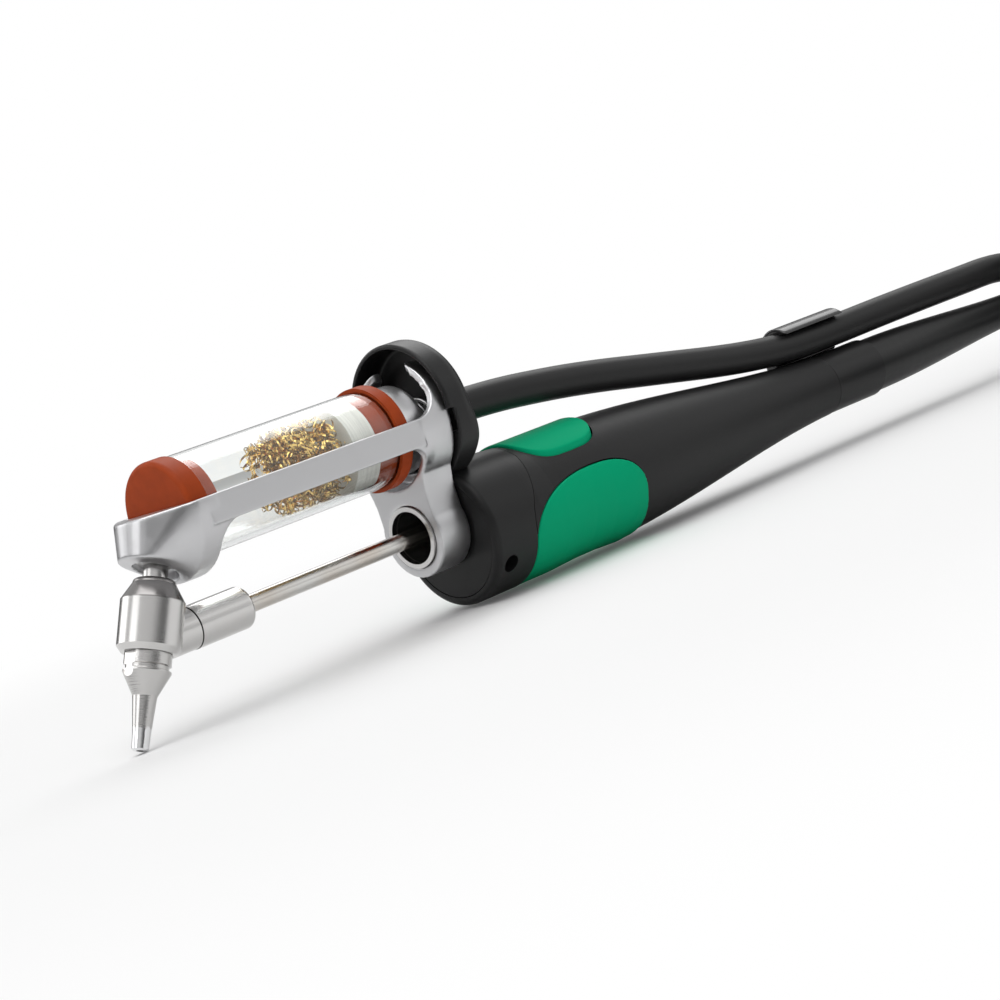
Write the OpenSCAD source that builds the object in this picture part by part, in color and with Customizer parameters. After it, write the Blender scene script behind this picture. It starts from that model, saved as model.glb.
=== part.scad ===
/* [Nozzle and head] */
// Forward lean of the nozzle from the upright, in degrees
lean = 28.5; // [26:0.5:31]
// Height of the heater tube's axis above the bench
shank_z = 15.9; // [15.4:0.1:16.4]
// Diameter of the hole in the nozzle
nozzle_bore = 1.3; // [0.8:0.1:1.8]
// Outside diameter of the nozzle's mouth
mouth_d = 2.9; // [2.6:0.1:3.2]
// Length of the tinned end of the nozzle
tinned_l = 3.8; // [2.5:0.1:5]
// Diameter of the nozzle above its tinned end
tinned_d = 3.3; // [3.2:0.1:3.6]
// Height up the nozzle where its cone starts
cone_start = 9.2; // [8.5:0.1:10]
// Diameter of the nozzle where its cone starts
cone_foot_d = 4.2; // [3.8:0.1:4.8]
// Diameter of the nozzle's shoulder
nozzle_d = 8.14; // [7.6:0.02:8.4]
// Length of the nozzle's cone
cone_l = 4.0; // [3.4:0.1:4.4]
// Diameter of the heater head
head_d = 11.1; // [10.6:0.1:11.6]
// Length of the head's straight part
head_l = 8.0; // [7.4:0.1:8.4]
// Length of the head's top cone
head_cone_l = 3.0; // [2.4:0.1:3.4]
// Diameter of the suction neck
neck_d = 4.26; // [3.8:0.02:4.6]
// Diameter of the suction hole inside the head and neck
suction_bore = 2.4; // [1.6:0.1:2.8]
// Diameter of the sleeve behind the head
sleeve_d = 7.7; // [7.2:0.1:8.2]
// Where the sleeve starts behind the nozzle's mouth
sleeve_x = 17.3; // [16.8:0.1:18]
// Length of the sleeve
sleeve_l = 12.3; // [10:0.1:14]
// Diameter of the thin heater tube
shank_d = 3.26; // [3:0.02:3.6]

/* [Collector] */
// Height of the glass tube's axis above the bench
glass_z = 35.6; // [35.2:0.1:36]
// Outside diameter of the glass tube
glass_d = 18.5; // [18:0.1:18.8]
// Wall of the glass tube
glass_wall = 1.1; // [0.8:0.1:1.4]
// Where the front seal's face lies
seal_x = 19.0; // [18.9:0.1:19.4]
// Thickness of the front seal's flange
front_flange_t = 4.0; // [3.6:0.1:4.4]
// Diameter of the front seal's flange
front_flange_d = 19.1; // [18.8:0.1:19.4]
// How far the front seal's plug reaches into the glass
front_plug_l = 3.1; // [2.5:0.1:4]
// Length of the glass tube
glass_l = 44.7; // [44.2:0.1:44.9]
// Thickness of the rear seal's flange
rear_flange_t = 2.9; // [2.4:0.1:3]
// Diameter of the rear seal's flange
rear_flange_d = 19.8; // [19.2:0.1:20]
// How far the rear seal's plug reaches into the glass
rear_plug_l = 4.2; // [3:0.1:5]
// Length of the fibre filter
filter_l = 5.6; // [4:0.1:7]
// Length of the brass wool
wool_l = 16; // [12:0.5:20]
// Hole through each seal
seal_hole = 2.6; // [2:0.1:3.4]

/* [Bracket] */
// Height of the flat that cuts off the cup, arm and block
rim_z = 36.6; // [36.2:0.1:37]
// Outside diameter of the cup and of the rear ring
cup_d = 24.2; // [23.8:0.1:24.6]
// Running gap round the front seal in the cup
cup_gap = 0.35; // [0.25:0.05:0.5]
// Diameter of the cup's foot
foot_d = 13; // [12:0.1:13.6]
// How far the foot is drawn out to the rear
foot_stretch = 2.2; // [1.6:0.1:2.8]
// Distance of the foot above the head's axis point
foot_t = 13.6; // [13.2:0.1:14]
// Where the cup ends at its rear
cup_end_x = 22.8; // [22.2:0.1:23]
// Height of the arm
arm_h = 5.0; // [4.4:0.1:5.6]
// Thickness of the arm
arm_t = 2.0; // [1.6:0.1:2.1]
// Front face of the rear block
block_x = 71.4; // [71:0.1:71.8]
// Thickness of the rear block
block_t = 7.4; // [7.2:0.1:7.4]
// Thickness of the block's rear plate
plate_t = 1.8; // [1.4:0.1:2.2]
// How far the two prongs reach back from the front of that plate
prong_l = 4.8; // [4:0.1:5.2]
// Half the gap between the prongs on the near side
prong_near = 4.1; // [3.5:0.1:5]
// Half the gap between the prongs on the far side
prong_far = 5.1; // [3.5:0.1:6]
// Diameter of the boss round the heater tube
boss_d = 15.6; // [15:0.1:16]
// Half width of the block's waist
waist = 7.2; // [6.9:0.1:7.6]
// Inside diameter of the steel ring round the heater tube
shank_ring_bore = 10.1; // [9.6:0.1:10.4]
// Wall of that steel ring
shank_ring_wall = 0.85; // [0.6:0.05:0.95]
// Diameter of the bracket's spigot in the collar
spigot_d = 13.2; // [12.8:0.1:13.4]

/* [Plunger and hood] */
// Diameter of the spring plunger
plunger_d = 16.8; // [16.2:0.1:17]
// Travel of the plunger and of the glass tube
plunger_travel = 3; // [2:0.1:3]
// Length of the plunger's skirt
plunger_l = 6.6; // [6:0.1:7]
// Height of the hood's axis
hood_z = 37.9; // [37.6:0.1:38.2]
// Outside diameter of the hood
hood_d = 26.6; // [26.2:0.1:27]
// Wall of the hood
hood_wall = 0.9; // [0.7:0.05:0.95]
// Front edge of the hood above its step
hood_front_x = 78.0; // [77.8:0.1:78.3]
// Rear face of the hood
hood_rear_x = 85.0; // [84.8:0.1:86]
// Thickness of the hood's rear wall
hood_back_t = 1.2; // [1:0.1:1.25]
// Length of the hose spigot behind the hood
hose_spigot_l = 3.5; // [3.5:0.1:3.5]

/* [Handle] */
// Diameter of the collar, which lies on the bench
collar_d = 26.4; // [26:0.1:26.8]
// Front face of the collar
collar_x = 79.2; // [79:0.1:79.4]
// Diameter of the round face plate in the collar
face_d = 22.7; // [22:0.1:23]
// Thickness of that face plate
face_t = 1.8; // [1.4:0.1:2.2]
// Diameter of the handle's body behind the collar
body_d = 25.5; // [25.2:0.1:25.8]
// Diameter of the handle at its rear end
tail_d = 12.7; // [12.4:0.1:13.2]
// Where the handle's body ends and the rear ring starts
body_end_x = 192.4; // [190:0.2:195]
// Length of the rear ring
rear_ring_l = 16.8; // [15:0.1:18]
// Inside diameter of the handle's wide part
cavity_d = 19.6; // [19.2:0.1:19.8]
// How far the grip pad sinks into the handle
pad_floor_d = 22.8; // [22.6:0.1:23]
// Length of the button
button_l = 20.4; // [18:0.2:20.6]
// Width of the button
button_w = 19.6; // [17:0.2:20]
// Travel of the button
button_travel = 0.8; // [0.5:0.1:0.8]
// Diameter of the set screw in the collar
set_screw_d = 3.4; // [3:0.1:3.6]
// Diameter of the contact socket inside the handle
socket_d = 12; // [11.4:0.1:12.2]

/* [Cords] */
// Diameter of the cable
cable_d = 5.5; // [5:0.1:5.6]
// Diameter of the suction hose
hose_d = 6.6; // [6:0.1:6.6]
// Where the strain relief ends
boot_end_x = 278; // [278:1:278]
// Length of the hose clip
clip_l = 20; // [14:1:22]
// Wall of the hose clip
clip_wall = 1.3; // [1:0.1:1.6]
// Diameter of the cable's plug
plug_d = 16.5; // [15.6:0.1:16.5]
// Diameter of the hose's fitting
fitting_d = 15; // [14:0.1:15]

/* [Hidden] */
fine = 72;
round_fn = 48;

// Gap of a running fit, measured on the radius
fit = 0.05;
// Gap between pieces that lie beside each other
seam = 0.15;

// The nozzle's own line, from its mouth up to the heater tube's axis
junction = shank_z / cos(lean);
head_x = shank_z * tan(lean);
head_foot = junction - 1.6;
nozzle_top = head_foot - 0.05;
head_side = head_foot + 1.0;
head_top = head_side + head_l + head_cone_l + 0.8;
foot_at = junction + foot_t;

glass_r = glass_d / 2;
glass_bore_r = glass_r - glass_wall;
glass_x = seal_x + front_flange_t;
glass_end_x = glass_x + glass_l;
rear_seal_end_x = glass_end_x + rear_flange_t;
plug_r = glass_bore_r - fit;
rear_plug_x = glass_end_x - rear_plug_l;
filter_x = rear_plug_x - filter_l;
wool_x = filter_x - wool_l;

cup_r = cup_d / 2;
pocket_r = front_flange_d / 2 + cup_gap;
pocket_x = seal_x - 0.2;
arm_z = rim_z - arm_h;
plate_x = block_x + block_t - plate_t;
block_end_x = block_x + block_t;
plunger_r = plunger_d / 2;
plate_bore_r = plunger_r + 0.4;
block_bore_r = rear_flange_d / 2 + 0.8;
ring_out_r = shank_ring_bore / 2 + shank_ring_wall;
spigot_end_x = collar_x + 8.8;

handle_z = collar_d / 2;
collar_r = collar_d / 2;
body_r = body_d / 2;
tail_r = tail_d / 2;
cavity_r = cavity_d / 2;
cavity_x = spigot_end_x;
taper_x = 112;
taper_end_x = body_end_x + 6.6;
body_front_x = 89.8;
ring_end_x = body_end_x + 0.1 + rear_ring_l;
neck_end_x = ring_end_x - 5.3;
boot_x = neck_end_x + 0.3;
boot_r = tail_r - 0.5;

plunger_x = rear_seal_end_x + 0.15;
hood_wall_x = hood_rear_x - hood_back_t;
hose_x = hood_rear_x + hose_spigot_l;

button_x = 107.2;
board_z = handle_z + 3.2;
board_t = 1.0;
switch_h = 1.5;
stem_end_z = handle_z + 8.2;

clip_x = 184;
clip_z = 23.4;

// Route of the hose from its spigot to its hank, and of the cable from the boot to its hank
hose_route = [
    [88.5, 0, 35.6], [95, 0, 35.6], [104, 0, 35.1], [113, 0, 34.2], [122, 0, 33.1], [132, 0, 31.6],
    [142, 0, 29.9], [152, 0, 28.2], [162, 0, 26.5], [172, 0, 25], [182, 0, 23.9], [192, 0, 23.4],
    [204, 0, 23.3], [220, 0, 23.4], [236, 0, 23.4], [252, 0, 23.3], [264, 0.1, 23.1], [277, 1.3, 21.4],
    [290, 3.1, 18.7], [303, 4.5, 16.4], [315, 4.9, 15.75]
];
cable_route = [[278, 0, 13.2], [285, 0.9, 12.7], [291.5, 3.7, 11.3], [298, 6.5, 9.8], [305, 7.4, 9.3]];
hose_tail_route = [[315, 4.9, 35.85], [325, 4.9, 36.3], [335, 4.9, 38.2], [345, 4.9, 40.7], [355, 4.9, 41.4]];
cable_tail_route = [[305, -47.4, 3.7], [297, -46.6, 4.4], [289.5, -44.7, 6], [282, -42.8, 7.6], [274, -42, 8.25]];
// The two hanks lie on each other: the middle line, the ends' centres, and the radii of the ends
hank_y = -20;
cable_hank_x = [305, 411];
cable_hank_out = 30.2;
cable_hank_in = 13.7;
cable_hank_z = 0.9;
cable_hank_h = 11.2;
hose_hank_x = [315, 414.2];
hose_hank_out = 28.3;
hose_hank_in = 21.5;
hose_hank_z = 12.4;
hose_hank_h = 20.1;
// The tie round both hanks
tie_x = 387;
tie_w = 8;
tie_t = 0.6;
tie_line = [
    [10.4, 0.7], [10.4, 12.3], [8.6, 13], [8.6, 34.2], [-48.6, 36.8], [-48.6, 13], [-50.4, 12.3], [-50.4, 0.7]
];
tie_outline = [
    [10.4 + tie_t, 0], [10.4 + tie_t, 12.5], [8.6 + tie_t, 13.2], [8.6 + tie_t, 34.9],
    [-48.6 - tie_t, 37.5], [-48.6 - tie_t, 13.2], [-50.4 - tie_t, 12.5], [-50.4 - tie_t, 0]
];

// Points on an arc of a profile
function arc(x, y, r, from, to, n) =
    [for (i = [0:n]) [x + r * cos(from + (to - from) * i / n), y + r * sin(from + (to - from) * i / n)]];
// A smooth step from 0 to 1
function ease(t) = t <= 0 ? 0 : t >= 1 ? 1 : t * t * (3 - 2 * t);
// Radius of the handle at x
function handle_r(x) =
    body_r + (collar_r - body_r) * (1 - ease((x - 91) / 8))
    - (body_r - tail_r) * ease((x - taper_x) / (taper_end_x - taper_x));
// Radius of the strain relief at x
function boot_radius(x) = boot_r - (boot_r - cable_d / 2 - 0.75) * ease((x - boot_x - 8) / 60);
// A closed outline between a rectangle and an ellipse
function rounded(a, b, p, n) =
    [for (i = [0:n - 1]) let (t = i * 360 / n)
        [a * sign(cos(t)) * pow(abs(cos(t)), 2 / p), b * sign(sin(t)) * pow(abs(sin(t)), 2 / p)]];

// A point of the smooth curve through the points of a route
function curve_point(p, i, t) =
    let (a = p[max(i - 1, 0)], b = p[i], c = p[i + 1], d = p[min(i + 2, len(p) - 1)])
    0.5 * ((2 * b) + (c - a) * t + (2 * a - 5 * b + 4 * c - d) * t * t + (3 * b - a - 3 * c + d) * t * t * t);
function curve(p, steps) =
    [for (i = [0:len(p) - 2]) for (k = [0:steps - 1]) curve_point(p, i, k / steps), p[len(p) - 1]];
function unit(v) = v / norm(v);
function along(p, i) = unit(p[min(i + 1, len(p) - 1)] - p[max(i - 1, 0)]);
function ring_points(p, i, r, n, up) =
    let (t = along(p, i), s = unit(cross(t, up)), u = cross(s, t))
    [for (k = [0:n - 1]) p[i] + r * (cos((k + 0.5) * 360 / n) * s + sin((k + 0.5) * 360 / n) * u)];

// A closed tube of n sides swept along points
module swept(p, r, n, up = [0, 0, 1]) {
    m = len(p);
    polyhedron(
        points = [for (i = [0:m - 1]) each ring_points(p, i, r, n, up)],
        faces = concat(
            [[for (k = [n - 1:-1:0]) k]],
            [for (i = [0:m - 2]) for (k = [0:n - 1])
                [i * n + k, i * n + (k + 1) % n, (i + 1) * n + (k + 1) % n, (i + 1) * n + k]],
            [[for (k = [0:n - 1]) (m - 1) * n + k]]
        )
    );
}

module along_x(x, z) {
    translate([x, 0, z]) rotate([0, 90, 0]) children();
}

module at_nozzle(t) {
    rotate([0, lean, 0]) translate([0, 0, t]) children();
}

// A round piece from a profile of [radius, place along its axis]
module turned(profile) {
    rotate_extrude($fn = fine) polygon(profile);
}

// A slab across the handle from an outline in Y and Z
module slab(x, t) {
    translate([x, 0, 0]) rotate([90, 0, 90]) linear_extrude(t) children();
}

// A prism through the handle from an outline in X and Z
module side_prism(y0, y1) {
    translate([0, y1, 0]) rotate([90, 0, 0]) linear_extrude(y1 - y0) children();
}

module tube(r, bore_r, l) {
    difference() {
        cylinder(r = r, h = l, $fn = fine);
        translate([0, 0, -1]) cylinder(r = bore_r, h = l + 2, $fn = fine);
    }
}

module nozzle() {
    shoulder = cone_start + cone_l;
    r = nozzle_d / 2;
    flat_x = r - 0.45;
    color("silver") rotate([0, lean, 0]) difference() {
        turned([
            [0, 0], [mouth_d / 2 - 0.25, 0], [mouth_d / 2, 0.3], [tinned_d / 2, tinned_l],
            [cone_foot_d / 2, cone_start], [r + 0.08, shoulder], [r + 0.08, shoulder + 0.3],
            [r - 0.35, shoulder + 0.5], [r - 0.35, shoulder + 1.1], [r, shoulder + 1.3], [r, nozzle_top], [0, nozzle_top]
        ]);
        translate([0, 0, -1]) cylinder(d = nozzle_bore, h = nozzle_top + 2, $fn = fine);
        for (side = [-1, 1]) {
            translate([side * (flat_x + 2), 0, shoulder + 2]) cube([4, 3.4, 3], center = true);
            translate([side * (flat_x + 2), 0, shoulder + 0.6]) rotate([0, 90, 0]) cylinder(d = 3.4, h = 4, center = true, $fn = fine);
        }
    }
}

module head_block() {
    r = head_d / 2;
    top = head_side + head_l;
    color("silver") difference() {
        union() {
            rotate([0, lean, 0]) turned(concat(
                [[0, head_foot], [r - 0.8, head_foot], [r, head_side], [r, top], [r - 1.8, top + head_cone_l]],
                arc(r - 2.6, top + head_cone_l, 0.8, 0, 90, 6), [[0, head_top]]
            ));
            along_x(head_x, shank_z) cylinder(d = sleeve_d - 0.2, h = sleeve_x - head_x, $fn = fine);
        }
        at_nozzle(head_foot - 6) cylinder(d = nozzle_d + 0.3, h = 6, $fn = fine);
        at_nozzle(head_foot) cylinder(d = suction_bore, h = head_top, $fn = fine);
    }
}

module heater_sleeve() {
    r = sleeve_d / 2;
    color("gainsboro") along_x(sleeve_x, shank_z) difference() {
        turned(concat(
            [[0, 0], [r - 0.25, 0], [r, 0.25]],
            arc(r - 0.8, sleeve_l - 0.8, 0.8, 0, 90, 6), [[0, sleeve_l]]
        ));
        translate([0, 0, 1.7]) cylinder(r = shank_d / 2 + fit, h = sleeve_l, $fn = fine);
    }
}

module heater_shank() {
    color("silver") along_x(sleeve_x + 1.7, shank_z)
        cylinder(d = shank_d, h = cavity_x + 11 - sleeve_x - 1.7, $fn = fine);
}

module suction_neck() {
    color("silver") at_nozzle(head_top) tube(neck_d / 2, suction_bore / 2, foot_at + 2.8 - head_top);
}

// The cup's outside: its foot, its front and the half ring round the seal
module cup_form() {
    hull() {
        for (back = [0, foot_stretch])
            at_nozzle(foot_at) translate([back, 0, 0]) cylinder(d = foot_d, h = 0.6, $fn = 36);
        at_nozzle(junction + 22.8) cylinder(d = foot_d + 3.8, h = 0.4, $fn = 36);
        along_x(cup_end_x - 4.2, glass_z) cylinder(r = cup_r, h = 4.2, $fn = 64);
    }
}

// The block's outline across the handle
module block_outline() {
    waist_r = 20;
    union() {
        translate([0, shank_z]) circle(d = boss_d, $fn = fine);
        translate([0, glass_z]) circle(r = cup_r, $fn = fine);
        difference() {
            translate([-9.5, shank_z]) square([19, glass_z - shank_z - 3]);
            for (side = [-1, 1])
                translate([side * (waist + waist_r), shank_z + 4.4]) circle(r = waist_r, $fn = 144);
        }
    }
}

// The half ring above the flat: two prongs with round tips and a front that leans back
module prongs() {
    lean_back = 12;
    tip_r = 1.9;
    tip_x = plate_x + prong_l - tip_r;
    difference() {
        along_x(plate_x - 0.1, glass_z) tube(cup_r, block_bore_r, prong_l + 0.1);
        translate([plate_x - 1, -20, 0]) cube([20, 40, rim_z - 1]);
        translate([plate_x - 1, -20, 0]) translate([block_end_x - plate_x + 1, 0, 0]) cube([20, 40, rim_z + 0.1]);
        translate([plate_x, 0, rim_z + 5]) rotate([0, lean_back, 0]) translate([-10, -20, 0]) cube([10, 40, 30]);
        translate([0, 0, rim_z + 5]) linear_extrude(20) difference() {
            translate([plate_x - 2, -prong_near - tip_r]) square([prong_l + 4, prong_near + prong_far + 2 * tip_r]);
            for (y = [-prong_near - tip_r, prong_far + tip_r])
                translate([tip_x, y]) circle(r = tip_r, $fn = round_fn);
            for (y = [-prong_near - 2 * tip_r, prong_far + tip_r])
                translate([tip_x - tip_r, y]) square([2 * tip_r, tip_r]);
        }
    }
}

module bracket() {
    fillet_r = plate_x - block_x;
    color("lightgray") difference() {
        union() {
            difference() {
                cup_form();
                along_x(pocket_x, glass_z) cylinder(r = pocket_r, h = 20, $fn = fine);
            }
            translate([cup_end_x - 2, -cup_r + 0.1, arm_z]) cube([block_x + 2 - cup_end_x, arm_t, arm_h]);
            // Fillet from the cup up to the arm
            intersection() {
                along_x(cup_end_x - 0.5, glass_z) tube(cup_r, pocket_r, 6);
                difference() {
                    translate([cup_end_x - 0.5, -cup_r, arm_z - 4.2]) cube([4.9, cup_r - 6, 4.5]);
                    translate([cup_end_x + 4.4, 0, arm_z - 4.4]) rotate([90, 0, 0]) cylinder(r = 4.4, h = 40, center = true, $fn = fine);
                }
            }
            difference() {
                intersection() {
                    slab(block_x, block_t) block_outline();
                    translate([block_x - 1, -20, 0]) cube([20, 40, rim_z]);
                }
                along_x(block_x - 1, glass_z) cylinder(r = block_bore_r, h = plate_x - block_x + 1, $fn = fine);
            }
            prongs();
            // Fillets from the flat up to the prongs
            intersection() {
                along_x(block_x, glass_z) tube(cup_r, block_bore_r, fillet_r + 0.1);
                difference() {
                    translate([block_x, -20, rim_z - 0.5]) cube([fillet_r + 0.1, 40, fillet_r + 0.5]);
                    translate([block_x, 0, rim_z + fillet_r]) rotate([90, 0, 0]) cylinder(r = fillet_r, h = 50, center = true, $fn = 144);
                }
            }
            along_x(block_end_x - 0.5, shank_z) cylinder(d = spigot_d, h = spigot_end_x - block_end_x + 0.3, $fn = fine);
        }
        // The flat at the rim, which dips towards the front lip
        translate([0, -30, rim_z]) cube([cup_end_x + 5, 60, 30]);
        translate([seal_x + 1, 0, rim_z]) rotate([0, 10, 0]) mirror([1, 0, 0]) translate([0, -30, 0]) cube([30, 60, 30]);
        along_x(plate_x - 1, glass_z) cylinder(r = plate_bore_r, h = 10, $fn = fine);
        along_x(block_x - 1, shank_z) cylinder(r = ring_out_r + fit, h = 40, $fn = fine);
        // The port for the neck, with its seat for the seal and the way on to the glass
        at_nozzle(foot_at - 4) turned([
            [0, 0], [neck_d / 2 + 1.9, 0], [neck_d / 2 + 1.9, 4.25], [neck_d / 2 + 1.45, 4.25],
            [neck_d / 2 + 1.45, 5], [neck_d / 2 + 0.15, 5], [neck_d / 2 + 0.15, 7], [0, 7]
        ]);
        at_nozzle(foot_at) cylinder(d = seal_hole, h = 7.4, $fn = fine);
    }
}

module port_seal() {
    color("dimgray") at_nozzle(foot_at + 0.3) tube(neck_d / 2 + 1.4, neck_d / 2 + fit, 0.6);
}

module shank_ring() {
    color("silver") along_x(block_x - 0.4, shank_z) tube(ring_out_r, shank_ring_bore / 2, spigot_end_x - block_x);
}

module front_seal() {
    r = front_flange_d / 2;
    color("firebrick") difference() {
        along_x(seal_x, glass_z) turned(concat(
            [[0, 0]], arc(r - 0.9, 0.9, 0.9, -90, 0, 6),
            [[r, front_flange_t], [plug_r, front_flange_t], [plug_r - 0.2, front_flange_t + front_plug_l], [0, front_flange_t + front_plug_l]]
        ));
        along_x(seal_x - 1, glass_z - 1) cylinder(d = seal_hole, h = 12, $fn = fine);
    }
}

module glass_tube() {
    color("lightblue", 0.4) along_x(glass_x, glass_z) tube(glass_r, glass_bore_r, glass_l);
}

// A loose wad: a barrel with a wavy edge
module brass_wool() {
    r = glass_bore_r - 0.3;
    color("goldenrod") along_x(wool_x, glass_z)
        turned(concat([[0, 0], [r - 2.6, 0.4]], arc(r - 2.2, 3, 2.2, -40, 0, 5), [[r, wool_l - 0.2], [0, wool_l - 0.2]]));
}

module filter_pad() {
    color("ivory") along_x(filter_x, glass_z) cylinder(r = glass_bore_r - 0.1, h = filter_l - 0.1, $fn = fine);
}

module rear_seal() {
    r = rear_flange_d / 2;
    color("firebrick") difference() {
        along_x(rear_plug_x, glass_z) turned(concat(
            [[0, 0], [plug_r - 0.2, 0], [plug_r, 0.4], [plug_r, rear_plug_l], [r, rear_plug_l]],
            arc(r - 0.5, rear_plug_l + rear_flange_t - 0.5, 0.5, 0, 90, 5), [[0, rear_plug_l + rear_flange_t]]
        ));
        along_x(rear_plug_x - 1, glass_z) cylinder(d = seal_hole, h = 20, $fn = fine);
    }
}

// A cup open to the rear with a round shoulder, and a hollow stem that slides in the hood
module plunger() {
    stem_r = 2.6;
    neck_r = plunger_r - 2.2;
    shoulder = 2;
    color("silver") along_x(plunger_x, glass_z) difference() {
        turned(concat(
            [[0, 0], [plunger_r - 1.0, 0]], arc(plunger_r - 0.8, 0.8, 0.8, -80, 0, 6),
            [for (a = [0:10:90]) [neck_r + 2.2 * cos(a), plunger_l - shoulder + shoulder * sin(a)]],
            [[neck_r - 0.8, plunger_l], [neck_r - 0.8, 1.2], [stem_r, 1.2],
            [stem_r, hood_rear_x - plunger_x - 0.4], [0, hood_rear_x - plunger_x - 0.4]]
        ));
        translate([0, 0, -1]) cylinder(d = seal_hole, h = 30, $fn = fine);
    }
}

module plunger_spring() {
    from = plunger_x + 1.2 + 0.5;
    to = hood_wall_x - 0.5;
    turns = 6;
    n = turns * 12;
    color("darkgray") swept(
        [for (i = [0:n]) [from + (to - from) * i / n, 4.2 * cos(i * 30), glass_z + 4.2 * sin(i * 30)]],
        0.4, 6, [1, 0, 0]);
}

module hood() {
    r = hood_d / 2;
    step_z = rim_z;
    l = hood_rear_x - hood_front_x;
    color("black") difference() {
        along_x(hood_front_x, hood_z) turned(concat(
            [[0, 0]], arc(r - 0.4, 0.4, 0.4, -90, 0, 4), arc(r - 1.4, l - 1.4, 1.4, 0, 90, 6), [[0, l]]
        ));
        // The cavity above the step, and the round one that the plunger runs in
        intersection() {
            along_x(hood_front_x - 1, hood_z) cylinder(r = r - hood_wall, h = hood_wall_x - hood_front_x + 1, $fn = fine);
            translate([0, -20, glass_z - 3]) cube([200, 40, 40]);
        }
        along_x(hood_front_x - 1, glass_z) cylinder(r = plunger_r + 0.35, h = hood_wall_x - hood_front_x + 1, $fn = fine);
        along_x(hood_wall_x - 1, glass_z) cylinder(r = 2.6 + fit, h = 8, $fn = fine);
        translate([0, -20, 0]) cube([collar_x + 0.1, 40, step_z]);
        along_x(collar_x - 4, handle_z) cylinder(r = collar_r + seam, h = 20, $fn = fine);
    }
}

module hose_spigot() {
    color("black") along_x(hood_rear_x, glass_z) difference() {
        turned([[0, 0], [5, 0], [5, 1], [4.2, 1.6], [4.2, hose_spigot_l], [0, hose_spigot_l]]);
        translate([0, 0, -1]) cylinder(r = 2.6 + fit, h = hose_spigot_l + 0.4, $fn = fine);
        translate([0, 0, -1]) cylinder(d = seal_hole, h = 10, $fn = fine);
    }
}

// The side view of the collar's rear edge, moved back by some distance
module parting(shift) {
    polygon([
        [40, -5], [body_front_x + shift, -5], [body_front_x + shift, handle_z - 2],
        [body_front_x + 0.6 + shift, handle_z + 0.6], [body_front_x + 2.1 + shift, handle_z + 3.4],
        [body_front_x + 5.4 + shift, handle_z + 10.4], [body_front_x + 6.2 + shift, handle_z + 16], [40, handle_z + 16]
    ]);
}

module collar() {
    color("black") difference() {
        intersection() {
            along_x(collar_x, handle_z) turned(concat(
                [[0, 0]], arc(collar_r - 1.2, 1.2, 1.2, -90, 0, 6),
                [for (x = [91:1:99]) [handle_r(x), x - collar_x]], [[0, 99 - collar_x]]
            ));
            side_prism(-20, 20) parting(0);
        }
        along_x(collar_x - 1, handle_z) cylinder(r = face_d / 2 + seam, h = face_t + 1.2, $fn = fine);
        along_x(collar_x, shank_z) cylinder(r = spigot_d / 2 + fit, h = 20, $fn = fine);
        along_x(cavity_x, handle_z) cylinder(r = cavity_r, h = 30, $fn = fine);
        set_screw_way(collar_r + 2, 4, set_screw_d / 2 + fit);
    }
}

module collar_face() {
    color("black") difference() {
        along_x(collar_x + 0.1, handle_z) cylinder(d = face_d, h = face_t, $fn = fine);
        along_x(collar_x - 1, shank_z) cylinder(r = spigot_d / 2 + fit, h = 20, $fn = fine);
    }
}

// A round bar on the set screw's line, from one radius out to another
module set_screw_way(outer, inner, r) {
    translate([collar_x + 3.6, 0, handle_z]) rotate([125, 0, 0]) translate([0, 0, inner]) cylinder(r = r, h = outer - inner, $fn = fine);
}

module set_screw() {
    tip = 5.15;
    color("dimgray") difference() {
        set_screw_way(tip + 4.6, tip, set_screw_d / 2);
        set_screw_way(tip + 6, tip + 3, 0.75);
    }
}

// The side view of the grip pad, grown by a gap
module pad_outline(gap) {
    mid_x = 108.5;
    mid_z = handle_z - 5.2;
    h = 9.2 + gap;
    front = mid_x - body_front_x - 0.3 + gap;
    back = 13.4 + gap;
    polygon(concat(
        [[mid_x - front, -3]],
        [for (a = [0:6:90]) [mid_x - front * cos(a), mid_z + h * sin(a)]],
        [for (a = [84:-6:0]) [mid_x + back * pow(cos(a), 0.78), mid_z + h * pow(sin(a), 0.78)]],
        [[mid_x + back + 1.4, -3]]
    ));
}

module button_outline(gap) {
    translate([button_x, 0]) polygon(rounded(button_l / 2 + gap, button_w / 2 + gap, 3.6, 48));
}

module handle_body() {
    n = 40;
    neck_r = tail_r - 1.4;
    end = body_end_x;
    color("black") difference() {
        along_x(0, handle_z) turned(concat(
            [[0, body_front_x]],
            [for (i = [0:n]) let (x = body_front_x + (end - body_front_x) * i / n) [handle_r(x), x]],
            [[neck_r, end], [neck_r, neck_end_x], [0, neck_end_x]]
        ));
        side_prism(-20, 20) parting(seam);
        along_x(0, handle_z) turned([
            [0, 60], [cavity_r, 60], [cavity_r, 122], [4.6, 171], [4.6, 176], [3.4, 176], [3.4, neck_end_x + 1], [0, neck_end_x + 1]
        ]);
        // Pocket of the grip pad
        difference() {
            side_prism(-20, 20) pad_outline(0.25);
            along_x(80, handle_z) cylinder(d = pad_floor_d, h = 60, $fn = fine);
        }
        // Pocket of the button, deep enough for its travel
        difference() {
            translate([0, 0, handle_z + 2]) linear_extrude(20) button_outline(0.3);
            along_x(80, handle_z - button_travel - 0.2) cylinder(d = pad_floor_d, h = 60, $fn = fine);
        }
        translate([button_x, 0, handle_z]) cylinder(d = 4.6, h = 20, $fn = fine);
    }
}

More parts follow.
